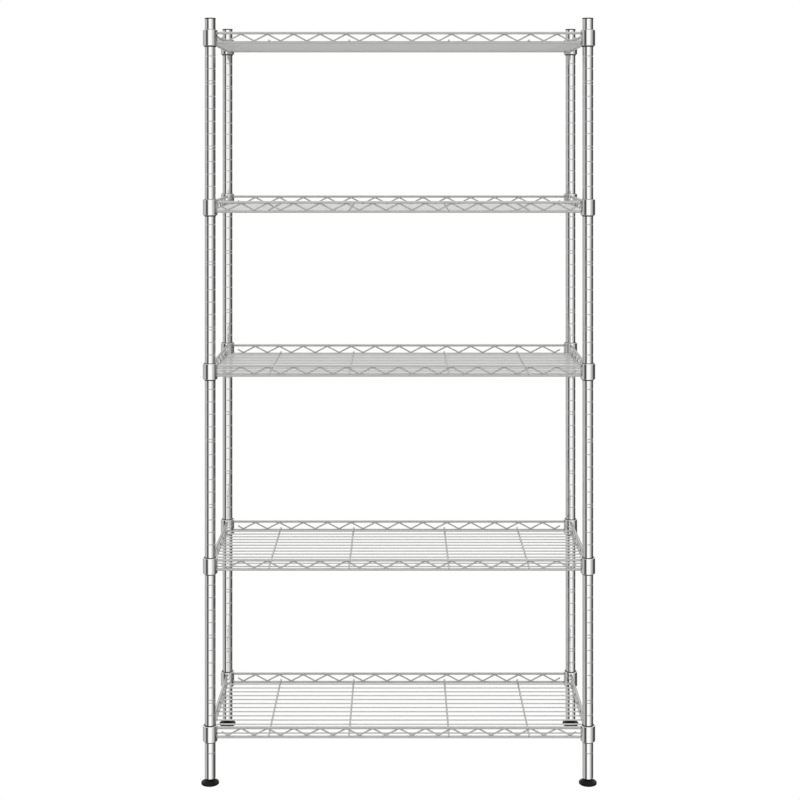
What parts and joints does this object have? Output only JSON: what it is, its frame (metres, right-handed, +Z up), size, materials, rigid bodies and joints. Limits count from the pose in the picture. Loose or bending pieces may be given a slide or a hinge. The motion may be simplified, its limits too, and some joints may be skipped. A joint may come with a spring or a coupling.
{
  "type": "wire shelving rack",
  "caption": "Free-standing wire shelving rack: ringed round posts carry welded wire shelves on tapered split sleeves, with end caps and levelling feet.",
  "frame": {"origin": "on the floor under the middle of the rack", "axes": "+Z up along the posts, +X along the shelves' length to the right, front faces -Y"},
  "size_m": [0.8084, 0.3564, 1.565],
  "materials": {
    "post_tube": "bright chrome plate",
    "collar_chrome": "bright chrome plate",
    "wire_chrome": "chrome-plated wire",
    "zinc_steel": "zinc plate",
    "black_plastic": "moulded, matt",
    "foot_plastic": "moulded, satin"
  },
  "bodies": {
    "posts": {"post_lower_front_left": "post_tube", "post_upper_front_left": "post_tube", "post_lower_front_right": "post_tube", "post_upper_front_right": "post_tube", "post_lower_rear_left": "post_tube", "post_upper_rear_left": "post_tube", "post_lower_rear_right": "post_tube", "post_upper_rear_right": "post_tube", "foot_inserts": "zinc_steel", "joiner_inserts_lower": "zinc_steel", "joiner_inserts_upper": "zinc_steel", "joiner_studs": "zinc_steel", "post_caps": "black_plastic", "sleeve_halves_front_1": "black_plastic", "sleeve_halves_rear_1": "black_plastic", "sleeve_halves_front_2": "black_plastic", "sleeve_halves_rear_2": "black_plastic", "sleeve_halves_front_3": "black_plastic", "sleeve_halves_rear_3": "black_plastic", "sleeve_halves_front_4": "black_plastic", "sleeve_halves_rear_4": "black_plastic", "sleeve_halves_front_5": "black_plastic", "sleeve_halves_rear_5": "black_plastic"},
    "shelf_1": {"shelf_1_corner_collars": "collar_chrome", "shelf_1_frame_wires": "wire_chrome", "shelf_1_truss_wires": "wire_chrome", "shelf_1_deck_wires": "wire_chrome", "shelf_1_cross_wires": "wire_chrome"},
    "shelf_2": {"shelf_2_corner_collars": "collar_chrome", "shelf_2_frame_wires": "wire_chrome", "shelf_2_truss_wires": "wire_chrome", "shelf_2_deck_wires": "wire_chrome", "shelf_2_cross_wires": "wire_chrome"},
    "shelf_3": {"shelf_3_corner_collars": "collar_chrome", "shelf_3_frame_wires": "wire_chrome", "shelf_3_truss_wires": "wire_chrome", "shelf_3_deck_wires": "wire_chrome", "shelf_3_cross_wires": "wire_chrome"},
    "shelf_4": {"shelf_4_corner_collars": "collar_chrome", "shelf_4_frame_wires": "wire_chrome", "shelf_4_truss_wires": "wire_chrome", "shelf_4_deck_wires": "wire_chrome", "shelf_4_cross_wires": "wire_chrome"},
    "shelf_5": {"shelf_5_corner_collars": "collar_chrome", "shelf_5_frame_wires": "wire_chrome", "shelf_5_truss_wires": "wire_chrome", "shelf_5_deck_wires": "wire_chrome", "shelf_5_cross_wires": "wire_chrome"},
    "foot_front_left": {"foot_pad_front_left": "foot_plastic"},
    "foot_front_right": {"foot_pad_front_right": "foot_plastic"},
    "foot_rear_left": {"foot_pad_rear_left": "foot_plastic"},
    "foot_rear_right": {"foot_pad_rear_right": "foot_plastic"},
    "stud_front_left": {"foot_stud_front_left": "zinc_steel"},
    "stud_front_right": {"foot_stud_front_right": "zinc_steel"},
    "stud_rear_left": {"foot_stud_rear_left": "zinc_steel"},
    "stud_rear_right": {"foot_stud_rear_right": "zinc_steel"}
  },
  "joints": [
    {"name": "shelf_1_lift", "type": "slide", "parent": "posts", "child": "shelf_1", "axis": [0, 0, 1], "range_m": [0, 0.304]},
    {"name": "shelf_2_lift", "type": "slide", "parent": "posts", "child": "shelf_2", "axis": [0, 0, 1], "range_m": [0, 0.358]},
    {"name": "shelf_3_lift", "type": "slide", "parent": "posts", "child": "shelf_3", "axis": [0, 0, 1], "range_m": [0, 0.297]},
    {"name": "shelf_4_lift", "type": "slide", "parent": "posts", "child": "shelf_4", "axis": [0, 0, 1], "range_m": [0, 0.308]},
    {"name": "shelf_5_lift", "type": "slide", "parent": "posts", "child": "shelf_5", "axis": [0, 0, 1], "range_m": [0, 0.065]},
    {"name": "foot_front_left_level", "type": "slide", "parent": "posts", "child": "foot_front_left", "axis": [0, 0, -1], "range_m": [0, 0.015]},
    {"name": "foot_front_left_turn", "type": "hinge", "parent": "foot_front_left", "child": "stud_front_left", "pos_m": [-0.386, -0.16, 0.03], "axis": [0, 0, -1], "range_deg": [0, 3600]},
    {"name": "foot_front_right_level", "type": "slide", "parent": "posts", "child": "foot_front_right", "axis": [0, 0, -1], "range_m": [0, 0.015]},
    {"name": "foot_front_right_turn", "type": "hinge", "parent": "foot_front_right", "child": "stud_front_right", "pos_m": [0.386, -0.16, 0.03], "axis": [0, 0, -1], "range_deg": [0, 3600]},
    {"name": "foot_rear_left_level", "type": "slide", "parent": "posts", "child": "foot_rear_left", "axis": [0, 0, -1], "range_m": [0, 0.015]},
    {"name": "foot_rear_left_turn", "type": "hinge", "parent": "foot_rear_left", "child": "stud_rear_left", "pos_m": [-0.386, 0.16, 0.03], "axis": [0, 0, -1], "range_deg": [0, 3600]},
    {"name": "foot_rear_right_level", "type": "slide", "parent": "posts", "child": "foot_rear_right", "axis": [0, 0, -1], "range_m": [0, 0.015]},
    {"name": "foot_rear_right_turn", "type": "hinge", "parent": "foot_rear_right", "child": "stud_rear_right", "pos_m": [0.386, 0.16, 0.03], "axis": [0, 0, -1], "range_deg": [0, 3600]}
  ],
  "couplings": [
    {"joint": "foot_front_left_turn", "follows": "foot_front_left_level", "rad_per_m": 4188.8},
    {"joint": "foot_front_right_turn", "follows": "foot_front_right_level", "rad_per_m": 4188.8},
    {"joint": "foot_rear_left_turn", "follows": "foot_rear_left_level", "rad_per_m": 4188.8},
    {"joint": "foot_rear_right_turn", "follows": "foot_rear_right_level", "rad_per_m": 4188.8}
  ]
}
